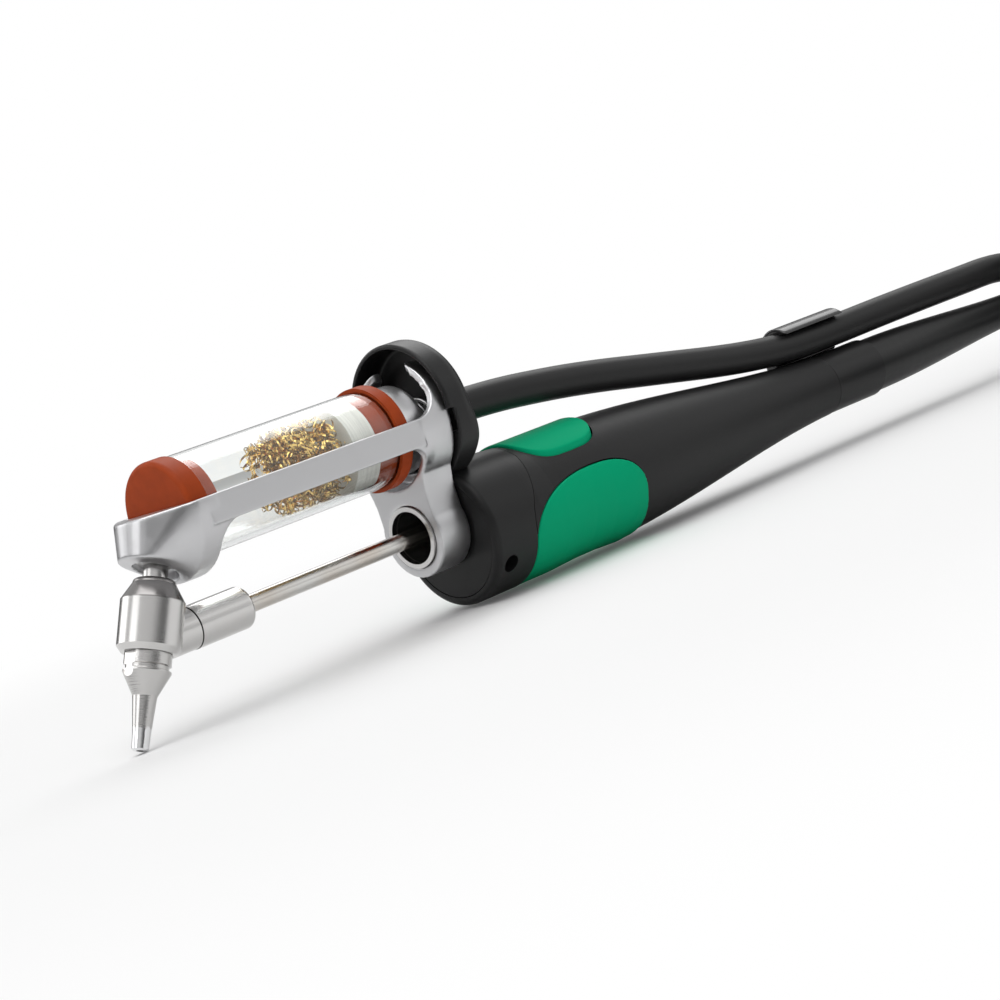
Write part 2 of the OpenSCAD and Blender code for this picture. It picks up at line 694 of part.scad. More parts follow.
module grip_pad() {
    color("seagreen") intersection() {
        side_prism(-20, 20) pad_outline(0);
        along_x(0, handle_z) difference() {
            turned([
                [0, 88], [collar_r - 0.1, 88], [collar_r - 0.08, 99], [body_r + 0.02, 107], [body_r + 0.02, 113],
                [body_r + 0.3, 119], [body_r + 0.02, 124], [0, 124]
            ]);
            translate([0, 0, 80]) cylinder(r = pad_floor_d / 2 + 0.1, h = 60, $fn = fine);
        }
    }
}

module button() {
    color("seagreen") union() {
        intersection() {
            translate([0, 0, handle_z + 3]) linear_extrude(20) button_outline(0);
            along_x(90, handle_z) difference() {
                cylinder(r = body_r + 0.65, h = 40, $fn = fine);
                translate([0, 0, -1]) cylinder(r = pad_floor_d / 2 + 0.2, h = 50, $fn = fine);
            }
        }
        translate([button_x, 0, stem_end_z]) cylinder(d = 4, h = pad_floor_d / 2 + 0.6 - (stem_end_z - handle_z), $fn = fine);
    }
}

module button_spring() {
    from = board_z + board_t + switch_h + 0.3;
    to = stem_end_z - 0.3;
    turns = 3;
    n = turns * 12;
    color("darkgray") swept(
        [for (i = [0:n]) [button_x + 1.3 * cos(i * 30), 1.3 * sin(i * 30), from + (to - from) * i / n]],
        0.22, 6);
}

module button_switch() {
    color("dimgray") translate([button_x - 3, -3, board_z + board_t]) cube([6, 6, switch_h]);
}

module switch_board() {
    color("darkgreen") translate([cavity_x + 12.4, -8.6, board_z]) cube([15.5, 17.2, board_t]);
}

module inner_frame() {
    color("dimgray") difference() {
        along_x(cavity_x + 0.1, handle_z) difference() {
            cylinder(r = cavity_r - fit, h = 12, $fn = fine);
            translate([0, 0, 1.5]) cylinder(r = cavity_r - 0.9, h = 12, $fn = fine);
        }
        along_x(cavity_x, shank_z) cylinder(r = socket_d / 2 + fit, h = 5, $fn = fine);
    }
}

module cartridge_socket() {
    color("dimgray") along_x(cavity_x + 0.2, shank_z) difference() {
        cylinder(d = socket_d, h = 11.8, $fn = fine);
        translate([0, 0, -1]) cylinder(r = 3, h = 12, $fn = fine);
    }
}

module contact_rings() {
    color("gold") for (i = [0:2]) along_x(cavity_x + 2.4 + 3 * i, shank_z) tube(3 - fit, shank_d / 2 + fit, 1.6);
}

module cable_clamp() {
    color("dimgray") along_x(171.1, handle_z) tube(4.5, cable_d / 2 + fit, 4.8);
}

module inner_lead() {
    color("black") along_x(166, handle_z) cylinder(d = cable_d, h = boot_end_x - 0.6 - 166, $fn = fine);
}

module rear_ring() {
    l = rear_ring_l;
    color("black") along_x(body_end_x + 0.1, handle_z) difference() {
        turned([
            [0, 0], [tail_r - 0.2, 0], [tail_r, 0.25], [tail_r, l - 0.6], [tail_r - 0.5, l], [0, l]
        ]);
        translate([0, 0, -1]) cylinder(r = tail_r - 1.4 + fit, h = l + 2, $fn = fine);
        translate([0, 0, neck_end_x - body_end_x]) cylinder(r = boot_r + 0.02, h = l, $fn = fine);
    }
}

module strain_boot() {
    n = 24;
    color("black") difference() {
        along_x(0, handle_z) turned(concat(
            [[0, boot_x]],
            [for (i = [0:n]) let (x = boot_x + (boot_end_x - 0.4 - boot_x) * i / n) [boot_radius(x), x]],
            [[boot_radius(boot_end_x) - 0.4, boot_end_x], [0, boot_end_x]]
        ));
        along_x(boot_x - 1, handle_z) cylinder(r = cable_d / 2 + fit, h = 100, $fn = fine);
    }
}

// A hook that stands on the handle's far side and closes over the hose
module hose_clip() {
    bore_r = hose_d / 2 + 0.15;
    color("black") difference() {
        intersection() {
            union() {
                along_x(clip_x, clip_z) cylinder(r = bore_r + clip_wall, h = clip_l, $fn = fine);
                translate([clip_x, 1.2, handle_z]) cube([clip_l, bore_r + clip_wall - 1.2, clip_z - handle_z]);
            }
            translate([clip_x + clip_l / 2, 0, 0]) linear_extrude(60) polygon(rounded(clip_l / 2, 8, 5, 40));
        }
        along_x(clip_x - 1, clip_z) cylinder(r = bore_r, h = clip_l + 2, $fn = fine);
        translate([clip_x - 1, -12, 0]) cube([clip_l + 2, 10.6, clip_z + 3]);
        translate([clip_x - 1, -12, 0]) cube([clip_l + 2, 13.2, clip_z]);
        along_x(0, handle_z) turned([
            for (i = [0:9]) let (x = clip_x - 2 + (body_end_x - clip_x + 2) * i / 9) [handle_r(x) + 0.1, x],
            [tail_r + 0.1, body_end_x], [tail_r + 0.1, ring_end_x + 8], [0, ring_end_x + 8], [0, clip_x - 2]
        ]);
    }
}

module cable() {
    color("black") swept(curve(cable_route, 2), cable_d / 2, 10);
}

// An outline with two round ends
module long_ring(ends, r) {
    translate([ends[0], hank_y]) circle(r = r, $fn = fine);
    translate([ends[1], hank_y]) circle(r = r, $fn = fine);
    translate([ends[0], hank_y - r]) square([ends[1] - ends[0], 2 * r]);
}

// The outer shape of a cord folded into a hank
module hank(ends, out_r, in_r, z, h) {
    color("black") translate([0, 0, z]) linear_extrude(h) difference() {
        long_ring(ends, out_r);
        long_ring(ends, in_r);
    }
}

module cable_hank() {
    hank(cable_hank_x, cable_hank_out, cable_hank_in, cable_hank_z, cable_hank_h);
}

module hank_tie() {
    color("dimgray") translate([tie_x, 0, 0]) rotate([90, 0, 90]) linear_extrude(tie_w) difference() {
        polygon(tie_outline);
        polygon(tie_line);
    }
}

module cable_tail() {
    color("black") swept(curve(cable_tail_route, 1), cable_d / 2, 10);
}

// A round plug that lies on the bench: relief, body, grip rings and front shell
module cable_plug() {
    r = plug_d / 2;
    at = cable_tail_route[4];
    grips = 5;
    color("black") translate([at[0], at[1], r]) rotate([0, -90, 0]) difference() {
        turned(concat(
            [[0, 0], [cable_d / 2 + 0.9, 0], [cable_d / 2 + 2.2, 14], [r - 1.6, 14], [r, 15.6], [r, 19]],
            [for (i = [0:grips - 1]) each [[r, 20 + 2.4 * i], [r - 0.5, 20.4 + 2.4 * i], [r - 0.5, 21.6 + 2.4 * i], [r, 22 + 2.4 * i]]],
            [[r, 36], [r - 0.8, 37], [r - 1.6, 37], [r - 1.6, 48], [0, 48]]
        ));
        translate([0, 0, 38]) cylinder(r = r - 2.8, h = 20, $fn = fine);
    }
}

module plug_pins() {
    r = plug_d / 2;
    at = cable_tail_route[4];
    color("gold") translate([at[0], at[1], r]) rotate([0, -90, 0]) for (i = [0:4])
        rotate([0, 0, i * 72]) translate([2.7, 0, 38]) cylinder(d = 1.2, h = 8, $fn = fine);
}

module hose() {
    color("black") swept(curve(hose_route, 2), hose_d / 2, 10);
}

module hose_hank() {
    hank(hose_hank_x, hose_hank_out, hose_hank_in, hose_hank_z, hose_hank_h);
}

module hose_tail() {
    color("black") swept(curve(hose_tail_route, 1), hose_d / 2, 10);
}

module hose_fitting() {
    r = fitting_d / 2;
    at = hose_tail_route[4];
    ribs = 6;
    color("silver") translate(at) rotate([0, 90, 0]) difference() {
        turned(concat(
            [[0, 0], [hose_d / 2 + 0.6, 0], [hose_d / 2 + 1.4, 1], [hose_d / 2 + 1.4, 5], [r - 0.6, 5], [r, 5.6]],
            [for (i = [0:ribs - 1]) each [[r, 6.4 + 1.6 * i], [r - 0.3, 6.7 + 1.6 * i], [r - 0.3, 7.3 + 1.6 * i], [r, 7.6 + 1.6 * i]]],
            [[r, 16.6], [r - 0.6, 17.2], [4.6, 17.2], [4.6, 26], [4.2, 26.4], [0, 26.4]]
        ));
        translate([0, 0, 8]) cylinder(r = 2.6, h = 30, $fn = fine);
    }
}

nozzle();
head_block();
heater_sleeve();
heater_shank();
suction_neck();
bracket();
port_seal();
shank_ring();
front_seal();
glass_tube();
brass_wool();
filter_pad();
rear_seal();
plunger();
plunger_spring();
hood();
hose_spigot();
collar();
collar_face();
set_screw();
handle_body();
grip_pad();
button();
button_spring();
button_switch();
switch_board();
inner_frame();
cartridge_socket();
contact_rings();
cable_clamp();
inner_lead();
rear_ring();
strain_boot();
hose_clip();
cable();
cable_hank();
hank_tie();
cable_tail();
cable_plug();
plug_pins();
hose();
hose_hank();
hose_tail();
hose_fitting();
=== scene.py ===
"""Builds the desoldering iron's looks on its CAD frame: camera, stage, cords, finishes and detailed pieces."""

import math
import random

import bmesh
import bpy
from mathutils import Matrix, Vector


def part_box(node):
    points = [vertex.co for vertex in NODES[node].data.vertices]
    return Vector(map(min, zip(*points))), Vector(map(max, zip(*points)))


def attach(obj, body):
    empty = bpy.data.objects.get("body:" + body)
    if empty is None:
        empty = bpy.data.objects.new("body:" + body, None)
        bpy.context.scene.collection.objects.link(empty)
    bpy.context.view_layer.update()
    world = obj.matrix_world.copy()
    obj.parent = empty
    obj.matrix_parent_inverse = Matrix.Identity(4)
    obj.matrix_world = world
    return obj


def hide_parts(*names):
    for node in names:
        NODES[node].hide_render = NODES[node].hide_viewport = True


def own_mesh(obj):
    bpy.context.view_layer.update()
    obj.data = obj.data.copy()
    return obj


bl_info = {
    "name": "Desoldering iron",
    "version": (1, 0, 0),
    "blender": (4, 5, 0),
    "location": "View3D > Sidebar > Iron",
    "description": "Finishes and detailed pieces of a desoldering iron, on its CAD frame",
    "category": "Object",
}

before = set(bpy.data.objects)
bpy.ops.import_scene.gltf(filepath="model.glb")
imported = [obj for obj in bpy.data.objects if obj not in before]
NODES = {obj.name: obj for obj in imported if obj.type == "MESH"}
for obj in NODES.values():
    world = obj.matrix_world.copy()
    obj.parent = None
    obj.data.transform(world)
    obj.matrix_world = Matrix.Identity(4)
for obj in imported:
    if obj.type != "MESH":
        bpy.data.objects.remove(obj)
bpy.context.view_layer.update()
MM = 0.001

# Places and sizes of the part are in mm, in its frame

# The nozzle's own line leans forward from the upright by this angle, in degrees
LEAN = 28.5
NOZZLE_LINE = Vector((math.sin(math.radians(LEAN)), 0, math.cos(math.radians(LEAN))))
# Along that line: where the head starts, how far above that its dark cone does, and how high the tinning reaches
HEAD_AT, CONE_RISE, TINNED_TO = 18.1, 7.1, 4.3
# The collector's own line
GLASS_Z = 35.6
# The barrel that the brass wool fills: its two ends and its radius
WOOL_FRONT, WOOL_BACK, WOOL_R = 43.8, 57.5, 7.75
# Its shavings: least and largest radius, number of turns, pitch and width
CURL_R, CURL_TURNS, CURL_PITCH, CURL_WIDTH = (0.6, 1.7), (1.2, 3.0), (0.5, 1.5), (0.22, 0.45)
# The hood: the height of its middle, its radius and its rear face; its rear round in the CAD and here; its skirt
HOOD_Z, HOOD_R, HOOD_REAR_X = 37.9, 13.3, 85.0
HOOD_CAD_ROUND, HOOD_ROUND = 1.4, 3.2
HOOD_FLARE, SKIRT_DEPTH = 0.09, 8.0
# The bracket's arm: its outer face and lower edge, where the block behind it starts, and that block's round
ARM_OUT_Y, ARM_Z, BLOCK_X, BLOCK_R = -12.0, 31.6, 71.4, 12.1
# The web between arm and block: its round and its thickness, and how far it reaches into both
WEB_ROUND, WEB_T, WEB_INTO_ARM, WEB_INTO_BLOCK = 3.4, 1.7, 0.3, 2.5
# The springs: the coil's radius, the wire's radius and the number of turns
PLUNGER_COIL_R, PLUNGER_WIRE_R, PLUNGER_TURNS = 4.2, 0.4, 6
BUTTON_COIL_R, BUTTON_WIRE_R, BUTTON_TURNS, BUTTON_SPRING_X = 1.3, 0.2, 3, 107.2

# Routes of the hose and the cable as far as their hanks, as in the CAD source
HOSE_ROUTE = [
    (88.5, 0, 35.6), (95, 0, 35.6), (104, 0, 35.1), (113, 0, 34.2), (122, 0, 33.1), (132, 0, 31.6),
    (142, 0, 29.9), (152, 0, 28.2), (162, 0, 26.5), (172, 0, 25), (182, 0, 23.9), (192, 0, 23.4),
    (204, 0, 23.3), (220, 0, 23.4), (236, 0, 23.4), (252, 0, 23.3), (264, 0.1, 23.1), (277, 1.3, 21.4),
    (290, 3.1, 18.7), (303, 4.5, 16.4), (315, 4.9, 15.75),
]
CABLE_ROUTE = [(278, 0, 13.2), (285, 0.9, 12.7), (291.5, 3.7, 11.3), (298, 6.5, 9.8), (305, 7.4, 9.3)]
# Routes from the hanks to the far ends
HOSE_TAIL = [(315, 4.9, 35.85), (325, 4.9, 36.3), (335, 4.9, 38.2), (345, 4.9, 40.7), (355, 4.9, 41.4)]
CABLE_TAIL = [(305, -47.4, 3.7), (297, -46.6, 4.4), (289.5, -44.7, 6), (282, -42.8, 7.6), (274, -42, 8.25)]
ROUTE_STEPS = 4
# The hanks: their middle line; the two ends of their straight runs and their middle radius; points in a turn
HANK_Y = -20
CABLE_HANK, HOSE_HANK = (305, 411, 22), (315, 414.2, 24.9)
HANK_STEPS = 96
# The cable's turns: outermost radius and pitch, height of the upper layer, drop to the lower one, and the share of a
# turn that the drop takes
CABLE_TURN_R, CABLE_PITCH, CABLE_TOP_Z, CABLE_DROP, CABLE_DROP_TURN = 27.4, 5.7, 9.3, 5.6, 0.8
# The hose's turns: height of the lowest one, rise in a turn, and how many
HOSE_LOW_Z, HOSE_RISE, HOSE_TURNS = 15.75, 6.7, 3

# Depths of the surfaces' reliefs, in metres, and the pitch of turning marks, in mm
TURNED_DEPTH, FINE_GRAIN, COARSE_GRAIN = 0.00001, 0.00002, 0.00003
TURNED_PITCH = 0.35

# The camera, fitted to the photograph: its place in metres, the directions of its right and up, and its lens in mm
CAMERA_AT = (-0.25112, -0.37831, 0.05332)
CAMERA_RIGHT = Vector((0.68523, -0.65749, -0.31331))
CAMERA_UP = Vector((0.27793, -0.16157, 0.94692))
CAMERA_LENS = 97.54
# The studio in reflections: greys from straight down (0) to straight up (1)
STUDIO_GREYS = [(0.0, 0.5), (0.46, 0.4), (0.51, 0.08), (0.60, 0.16), (0.70, 0.62), (1.0, 0.7)]
# Cards in it: how they act on the greys, their direction, where their soft edge starts and ends, and their values
# outside and inside
STUDIO_CARDS = [
    # A dark screen to the left of the camera draws the dark bands down the turned steel
    ("MULTIPLY", (-0.95, -0.3, 0.0), 0.84, 0.95, 1.0, 0.2),
    # A white card behind, to the left, lights up the flats on the nozzle
    ("ADD", (-0.38, 0.83, 0.41), 0.93, 0.98, 0.0, 1.6),
    # A second white card, to the right of the camera, lights up the bracket's near side
    ("ADD", (0.85, -0.52, 0.05), 0.82, 0.97, 0.0, 0.75),
]
EVEN_LIGHT = 0.5
WHITE = (1, 1, 1, 1)
# Lamps: place, aim and side in metres, power in watts
LAMPS = [
    ((-0.15, -0.15, 1.0), (0.1, 0, 0.0), 1.0, 5.6),
    ((0.75, 0.35, 0.8), (0.12, 0, 0.02), 0.7, 3.4),
    ((-0.9, 0.1, 0.5), (0.05, 0, 0.03), 0.5, 1.2),
]
# The floor: half its side and its level in metres, and how much it is lifted toward white for the camera
FLOOR_HALF, FLOOR_LEVEL, FLOOR_LIFT = 4.0, -0.0006, 0.06
# Its pale oval: the middle in metres, how much it is squeezed each way, and where it starts and ends turning white
OVAL_AT, OVAL_SQUEEZE, OVAL_FADE = (0.1, 0, 0), (3.2, 5.0, 0.0), (0.5, 1.3)

# What all the colour settings share
COLOUR = {"subtype": "COLOR", "size": 3, "min": 0, "max": 1}


# Properties


class IronSizes(bpy.types.PropertyGroup):
    """Sizes of the cords and of the detailed pieces"""

    cable_diameter: bpy.props.FloatProperty(
        name="Cable diameter", description="Outside diameter of the cable",
        default=0.0055, min=0.003, max=0.008, unit="LENGTH",
    )
    hose_diameter: bpy.props.FloatProperty(
        name="Hose diameter", description="Outside diameter of the suction hose",
        default=0.0066, min=0.004, max=0.01, unit="LENGTH",
    )
    cable_length: bpy.props.FloatProperty(
        name="Cable length", description="Real length of the cable",
        default=1.4, min=0.5, max=3, unit="LENGTH",
    )
    hose_length: bpy.props.FloatProperty(
        name="Hose length", description="Real length of the hose",
        default=1.35, min=0.5, max=3, unit="LENGTH",
    )
    edge_voxel: bpy.props.FloatProperty(
        name="Edge detail", description="Cell size of the mesh that rounds the edges",
        default=0.0002, min=0.0001, max=0.001, unit="LENGTH",
    )
    wool_curls: bpy.props.IntProperty(
        name="Wool curls", description="How many shavings the brass wool has", default=340, min=20, max=600
    )


class IronFinishes(bpy.types.PropertyGroup):
    """Colours of the finishes"""

    aluminium: bpy.props.FloatVectorProperty(
        name="Satin aluminium", description="Colour of the bracket", default=(0.60, 0.60, 0.61), **COLOUR
    )
    steel: bpy.props.FloatVectorProperty(
        name="Steel", description="Colour of head, sleeve and tube", default=(0.66, 0.65, 0.64), **COLOUR
    )
    seal: bpy.props.FloatVectorProperty(
        name="Seals", description="Colour of the silicone seals", default=(0.33, 0.046, 0.007), **COLOUR
    )
    black: bpy.props.FloatVectorProperty(
        name="Black plastic", description="Colour of hood, collar and handle", default=(0.008, 0.008, 0.0083), **COLOUR
    )
    green: bpy.props.FloatVectorProperty(
        name="Grip green", description="Colour of grip pad and button", default=(0.0, 0.37, 0.175), **COLOUR
    )
    brass: bpy.props.FloatVectorProperty(
        name="Brass wool", description="Colour of the shavings", default=(0.88, 0.61, 0.2), **COLOUR
    )
    filter: bpy.props.FloatVectorProperty(
        name="Filter", description="Colour of the fibre filter", default=(0.84, 0.83, 0.78), **COLOUR
    )


def sizes():
    return bpy.context.scene.iron_sizes


def colours():
    return bpy.context.scene.iron_finishes


# Materials


def new_material(name, colour, metallic, roughness, **sockets):
    """A plain finish; each further socket is named with underscores for spaces."""
    made = bpy.data.materials.new(name)
    made.use_nodes = True
    shader = made.node_tree.nodes["Principled BSDF"]
    shader.inputs["Base Color"].default_value = (*colour, 1)
    shader.inputs["Metallic"].default_value = metallic
    shader.inputs["Roughness"].default_value = roughness
    for key, value in sockets.items():
        shader.inputs[key.replace("_", " ")].default_value = value
    made.diffuse_color = (*colour, 1)
    return made


def add_node(owner, kind, values=None, links=None, **settings):
    """Adds a node to a material or a world, with values and links for its inputs."""
    node = owner.node_tree.nodes.new(kind)
    for key, value in settings.items():
        setattr(node, key, value)
    for key, value in (values or {}).items():
        node.inputs[key].default_value = value
    for key, source in (links or {}).items():
        owner.node_tree.links.new(source, node.inputs[key])
    return node


def link(made, source, socket):
    """Links a value to a socket of the material's main shader."""
    shader = made.node_tree.nodes["Principled BSDF"]
    made.node_tree.links.new(source, shader.inputs[socket])


def show(made, shader):
    """Makes a shader the material's surface."""
    made.node_tree.links.new(shader, made.node_tree.nodes["Material Output"].inputs["Surface"])


def place(made):
    """The point on the piece, in metres in the part's frame."""
    return add_node(made, "ShaderNodeTexCoord").outputs["Object"]


def scaled(made, source, factors):
    return add_node(made, "ShaderNodeVectorMath", {1: factors}, {0: source}, operation="MULTIPLY").outputs[0]


def noise(made, source, scale, detail=2.0, roughness=0.5):
    return add_node(
        made, "ShaderNodeTexNoise", {"Scale": scale, "Detail": detail, "Roughness": roughness}, {"Vector": source}
    ).outputs["Fac"]


def line_noise(made, along, scale, detail=2.0):
    """Marks that change along one line only."""
    return add_node(
        made, "ShaderNodeTexNoise", {"Scale": scale, "Detail": detail}, {"W": along}, noise_dimensions="1D"
    ).outputs["Fac"]


def facing(owner, source, line):
    """How far a point or a direction reaches along a line."""
    dot = add_node(owner, "ShaderNodeVectorMath", {1: tuple(line)}, {0: source}, operation="DOT_PRODUCT")
    return dot.outputs["Value"]


def distance_along(made, source, line, start=0.0):
    """How far a point lies along a line, in mm."""
    dot = facing(made, source, line)
    return add_node(made, "ShaderNodeMath", {1: 1000.0, 2: -start}, {0: dot}, operation="MULTIPLY_ADD").outputs[0]


def step(owner, source, low, high, to_low=0.0, to_high=1.0):
    """A soft step from one value to another, between two values of the source."""
    return add_node(
        owner,
        "ShaderNodeMapRange",
        {"From Min": low, "From Max": high, "To Min": to_low, "To Max": to_high},
        {"Value": source},
        interpolation_type="SMOOTHSTEP",
    ).outputs["Result"]


def add_bump(made, height, strength, depth):
    bump = add_node(made, "ShaderNodeBump", {"Strength": strength, "Distance": depth}, {"Height": height})
    link(made, bump.outputs["Normal"], "Normal")


def mixed(made, factor, first, second):
    """A mix of two colours, by the mix node's colour sockets."""
    mix = add_node(made, "ShaderNodeMix", data_type="RGBA")
    for key, value in ((6, first), (7, second)):
        mix.inputs[key].default_value = (*value, 1)
    made.node_tree.links.new(factor, mix.inputs[0])
    return mix.outputs[2]


def mixed_shaders(owner, factor, first, second):
    return add_node(owner, "ShaderNodeMixShader", None, {0: factor, 1: first, 2: second}).outputs[0]


def grained(name, colour, roughness, grain, depth=FINE_GRAIN, **sockets):
    """A finish with a fine even grain, whose size is given in mm."""
    made = new_material(name, colour, metallic=0.0, roughness=roughness, **sockets)
    height = noise(made, place(made), 1000.0 / grain, 3.0)
    add_bump(made, height, 0.5, depth)
    return made


def satin_aluminium():
    made = new_material("satin_aluminium", colours().aluminium, metallic=1.0, roughness=0.36)
    at = place(made)
    cloud = noise(made, at, 160.0)
    link(made, step(made, cloud, 0.3, 0.7, 0.30, 0.40), "Roughness")
    add_bump(made, noise(made, at, 5200.0), 0.22, COARSE_GRAIN)
    return made


def turned_steel(name, line, roughness=0.2, tint=1.0):
    """Steel with fine turning marks round a line."""
    colour = tuple(min(1.0, c * tint) for c in colours().steel)
    made = new_material(name, colour, metallic=1.0, roughness=roughness)
    marks = line_noise(made, distance_along(made, place(made), line), 1.0 / TURNED_PITCH, 3.0)
    link(made, step(made, marks, 0.25, 0.75, roughness * 0.8, roughness * 1.25), "Roughness")
    add_bump(made, marks, 0.08, TURNED_DEPTH)
    return made


def sleeve_steel():
    """Turned steel, with the dark line of the joint where the sleeve meets the head."""
    made = turned_steel("sleeve_steel", (1, 0, 0))
    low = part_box("heater_sleeve")[0]
    along = distance_along(made, place(made), (1, 0, 0), low.x / MM)
    metal = step(made, along, 0.2, 0.28)
    link(made, mixed(made, metal, (0.03, 0.028, 0.026), colours().steel), "Base Color")
    return made


def nozzle_steel():
    """Turned steel, brightly tinned at the mouth with an uneven edge."""
    made = new_material("tinned_nozzle", (0.7, 0.69, 0.68), metallic=1.0, roughness=0.2)
    at = place(made)
    along = distance_along(made, at, NOZZLE_LINE)
    ripple = noise(made, at, 700.0)
    edge = add_node(made, "ShaderNodeMath", {1: 1.4}, {0: ripple, 2: along}, operation="MULTIPLY_ADD").outputs[0]
    tinned = step(made, edge, TINNED_TO, TINNED_TO + 0.4, 1.0, 0.0)
    link(made, mixed(made, tinned, (0.60, 0.59, 0.58), (0.86, 0.86, 0.87)), "Base Color")
    link(made, step(made, tinned, 0.0, 1.0, 0.24, 0.10), "Roughness")
    marks = line_noise(made, along, 4.0)
    height = add_node(made, "ShaderNodeMix", None, {0: tinned, 2: marks, 3: ripple}, data_type="FLOAT").outputs[0]
    add_bump(made, height, 0.3, 0.00006)
    return made


def head_steel():
    """Polished steel with a darker top cone."""
    made = new_material("polished_head", colours().steel, metallic=1.0, roughness=0.2)
    along = distance_along(made, place(made), NOZZLE_LINE)
    dark = step(made, along, HEAD_AT + CONE_RISE, HEAD_AT + CONE_RISE + 0.3)
    link(made, mixed(made, dark, colours().steel, (0.30, 0.29, 0.285)), "Base Color")
    marks = line_noise(made, along, 5.0)
    link(made, step(made, marks, 0.3, 0.7, 0.17, 0.24), "Roughness")
    add_bump(made, marks, 0.1, TURNED_DEPTH)
    return made


def tube_steel():
    """The heater tube: drawn steel with a faint warm tint from the heat."""
    made = new_material("heater_tube_steel", colours().steel, metallic=1.0, roughness=0.2)
    at = place(made)
    streak = noise(made, scaled(made, at, (0.03, 1.0, 1.0)), 1800.0)
    warm = noise(made, at, 60.0)
    link(made, mixed(made, step(made, warm, 0.35, 0.75), (0.70, 0.69, 0.67), (0.60, 0.52, 0.44)), "Base Color")
    link(made, step(made, streak, 0.3, 0.7, 0.14, 0.26), "Roughness")
    add_bump(made, streak, 0.15, FINE_GRAIN)
    return made


def clear_glass():
    """Clear glass that lets the lamps' light through to what is inside."""
    made = new_material(
        "clear_glass", (0.97, 0.985, 0.98), metallic=0.0, roughness=0.0, Transmission_Weight=1.0, IOR=1.47
    )
    glass = made.node_tree.nodes["Principled BSDF"].outputs[0]
    shadow_ray = add_node(made, "ShaderNodeLightPath").outputs["Is Shadow Ray"]
    clear = add_node(made, "ShaderNodeBsdfTransparent", {"Color": (0.93, 0.95, 0.94, 1)}).outputs[0]
    show(made, mixed_shaders(made, shadow_ray, glass, clear))
    return made


def filter_fibre():
    """Wound fibre: rings round the filter's line, with flecks."""
    colour = tuple(colours().filter)
    made = new_material("filter_fibre", colour, metallic=0.0, roughness=0.8)
    at = place(made)
    rings = noise(made, scaled(made, at, (1.0, 0.03, 0.03)), 2600.0, 3.0, 0.6)
    flecks = noise(made, at, 900.0, 3.0)
    link(made, mixed(made, step(made, rings, 0.35, 0.65), tuple(c * 0.86 for c in colour), colour), "Base Color")
    both = add_node(made, "ShaderNodeMath", None, {0: rings, 1: flecks}, operation="ADD").outputs[0]
    add_bump(made, both, 0.5, 0.00012)
    return made


def brass_shavings():
    """Bright brass, darker in random patches."""
    bright = tuple(colours().brass)
    made = new_material("brass_shavings", bright, metallic=1.0, roughness=0.24)
    patches = noise(made, place(made), 900.0)
    link(made, mixed(made, step(made, patches, 0.38, 0.56), tuple(c * 0.32 for c in bright), bright), "Base Color")
    return made


def seal_rubber():
    """Slightly mottled silicone."""
    colour = tuple(colours().seal)
    made = new_material("seal_silicone", colour, metallic=0.0, roughness=0.5, Specular_IOR_Level=0.15)
    mottle = noise(made, place(made), 420.0)
    darker, lighter = (tuple(min(1, c * factor) for c in colour) for factor in (0.8, 1.2))
    link(made, mixed(made, mottle, darker, lighter), "Base Color")
    return made


# Shapes


def new_object(name, data, material, body):
    """Links a mesh or a curve as a piece that rides on a body."""
    piece = bpy.data.objects.new(name, data)
    bpy.context.scene.collection.objects.link(piece)
    data.materials.clear()
    data.materials.append(material)
    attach(piece, body)
    return piece


def paint(material, *nodes):
    """Gives CAD nodes a finish."""
    for name in nodes:
        node = NODES[name]
        if node.material_slots:
            for slot in node.material_slots:
                slot.material = material
        else:
            node.data.materials.append(material)


def mesh_from(name, points, faces):
    mesh = bpy.data.meshes.new(name)
    mesh.from_pydata(points, [], faces)
    mesh.validate()
    mesh.update()
    mesh.shade_smooth()
    return mesh


def softened(node, name, material, body, rounds, form=None, extra=None):
    """A copy of a CAD node on a fine even mesh, with its edges rounded, in the node's place.

    extra adds geometry to the copy first, and form shapes the result.
    """
    copied = NODES[node].data.copy()
    if extra:
        whole = bmesh.new()
        whole.from_mesh(copied)
        extra(whole)
        whole.to_mesh(copied)
        whole.free()
    piece = bpy.data.objects.new(name, copied)
    bpy.context.scene.collection.objects.link(piece)
    even = piece.modifiers.new("even mesh", "REMESH")
    even.mode = "VOXEL"
    even.voxel_size = sizes().edge_voxel
    soft = piece.modifiers.new("soft edges", "SMOOTH")
    soft.factor = 0.5
    soft.iterations = rounds
    bpy.context.view_layer.update()
    graph = bpy.context.evaluated_depsgraph_get()
    mesh = bpy.data.meshes.new_from_object(piece.evaluated_get(graph))
    least_points = 100
    if len(mesh.vertices) < least_points:
        raise RuntimeError(f"{name}: the even mesh came out empty")
    piece.modifiers.clear()
    piece.data = mesh
    mesh.name = name
    if form:
        form(mesh)
    mesh.shade_smooth()
    mesh.materials.clear()
    mesh.materials.append(material)
    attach(piece, body)
    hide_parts(node)
    return piece


